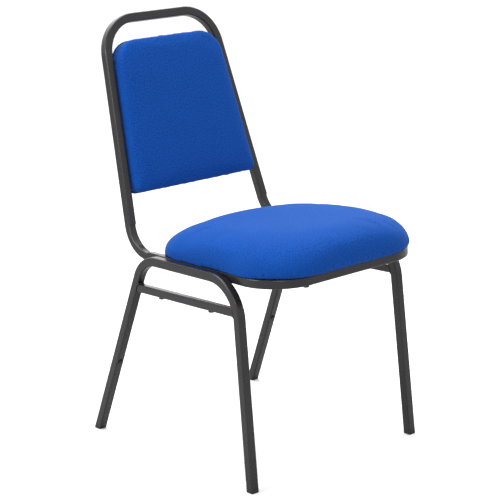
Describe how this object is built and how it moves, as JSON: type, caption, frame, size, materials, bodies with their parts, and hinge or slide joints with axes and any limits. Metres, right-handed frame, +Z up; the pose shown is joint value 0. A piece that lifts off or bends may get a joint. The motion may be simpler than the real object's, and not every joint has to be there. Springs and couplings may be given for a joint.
{
  "type": "stacking chair",
  "caption": "Stacking chair with a bent square-tube steel frame, side stretchers, and an upholstered seat pad and back pad.",
  "frame": {"origin": "centre of the bounding box on the floor, at the feet", "axes": "+Z up, +X to the right as seen by someone facing the chair's front from -Y, the chair's front faces -Y"},
  "size_m": [0.4522, 0.5926, 0.847],
  "materials": {
    "powder_coat": "satin dark grey powder coat on steel tube",
    "cover_fabric": "royal blue woven upholstery",
    "foam": "upholstery foam",
    "plywood": "raw plywood",
    "zinc_steel": "zinc plated",
    "black_plastic": "matt black plastic"
  },
  "bodies": {
    "root": {"back_hoop": "powder_coat", "seat_frame_tube": "powder_coat", "left_leg_frame": "powder_coat", "right_leg_frame": "powder_coat", "left_stretcher": "powder_coat", "right_stretcher": "powder_coat", "front_cross_rail": "powder_coat", "rear_cross_rail": "powder_coat", "weld_beads": "powder_coat", "left_back_lugs": "powder_coat", "right_back_lugs": "powder_coat", "seat_board": "plywood", "seat_foam": "foam", "seat_cover": "cover_fabric", "seat_screws": "zinc_steel", "seat_tee_nuts": "zinc_steel", "back_board": "plywood", "back_foam": "foam", "back_cover": "cover_fabric", "back_rear_panel": "cover_fabric", "back_screws": "zinc_steel", "back_tee_nuts": "zinc_steel", "front_left_foot": "black_plastic", "front_right_foot": "black_plastic", "rear_left_foot": "black_plastic", "rear_right_foot": "black_plastic", "left_stretcher_buffers": "black_plastic", "right_stretcher_buffers": "black_plastic", "front_rail_buffers": "black_plastic", "left_leg_stud": "black_plastic", "right_leg_stud": "black_plastic"}
  },
  "joints": []
}
